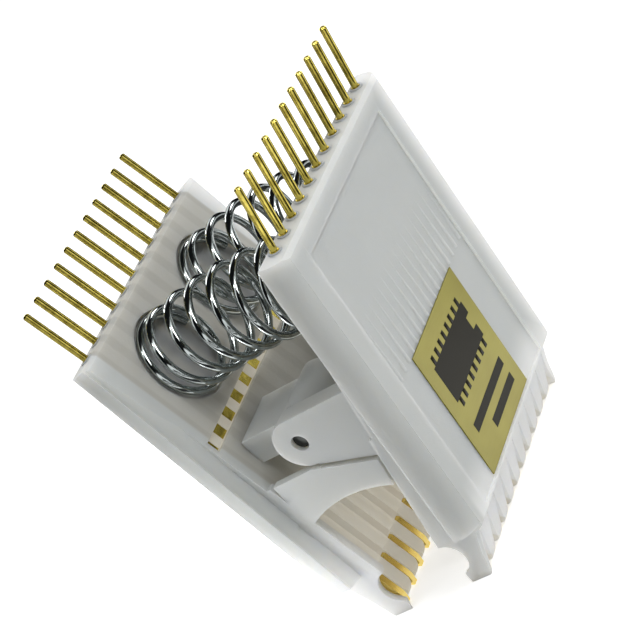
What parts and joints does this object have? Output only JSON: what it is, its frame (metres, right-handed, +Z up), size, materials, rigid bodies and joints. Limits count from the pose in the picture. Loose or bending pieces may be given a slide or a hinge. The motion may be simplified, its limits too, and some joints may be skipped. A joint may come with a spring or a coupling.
{
  "type": "dip test clip",
  "caption": "Spring clip whose two hinged jaws press rows of knife contacts on a chip's legs and bring them up to round test posts.",
  "frame": {"origin": "centre of the clip's footprint on the surface it stands on", "axes": "+X along the contact rows, +Y towards the rear jaw, +Z up, from the nose to the posts"},
  "size_m": [0.0304, 0.028, 0.0437],
  "materials": {
    "nylon": "natural nylon, slightly translucent, finely textured outside",
    "gold": "gold plated, bright",
    "steel": "plain steel rod",
    "chrome": "bright plated spring wire",
    "foil": "satin gold foil with a plain black print"
  },
  "bodies": {
    "front": {"front_jaw": "nylon", "label": "foil", "hinge_pin": "steel", "near_spring": "chrome", "far_spring": "chrome", "contact_front_01": "gold", "contact_front_02": "gold", "contact_front_03": "gold", "contact_front_04": "gold", "contact_front_05": "gold", "contact_front_06": "gold", "contact_front_07": "gold", "contact_front_08": "gold", "contact_front_09": "gold", "contact_front_10": "gold", "contact_front_11": "gold"},
    "rear": {"rear_jaw": "nylon", "contact_rear_01": "gold", "contact_rear_02": "gold", "contact_rear_03": "gold", "contact_rear_04": "gold", "contact_rear_05": "gold", "contact_rear_06": "gold", "contact_rear_07": "gold", "contact_rear_08": "gold", "contact_rear_09": "gold", "contact_rear_10": "gold", "contact_rear_11": "gold"}
  },
  "joints": [
    {"name": "jaw_hinge", "type": "hinge", "parent": "front", "child": "rear", "pos_m": [0, 0, 0.0203], "axis": [1, 0, 0], "range_deg": [0, 18], "stiffness_Nm_per_rad": 0.1, "springref_deg": -34.38, "deforming": ["near_spring", "far_spring"]}
  ]
}
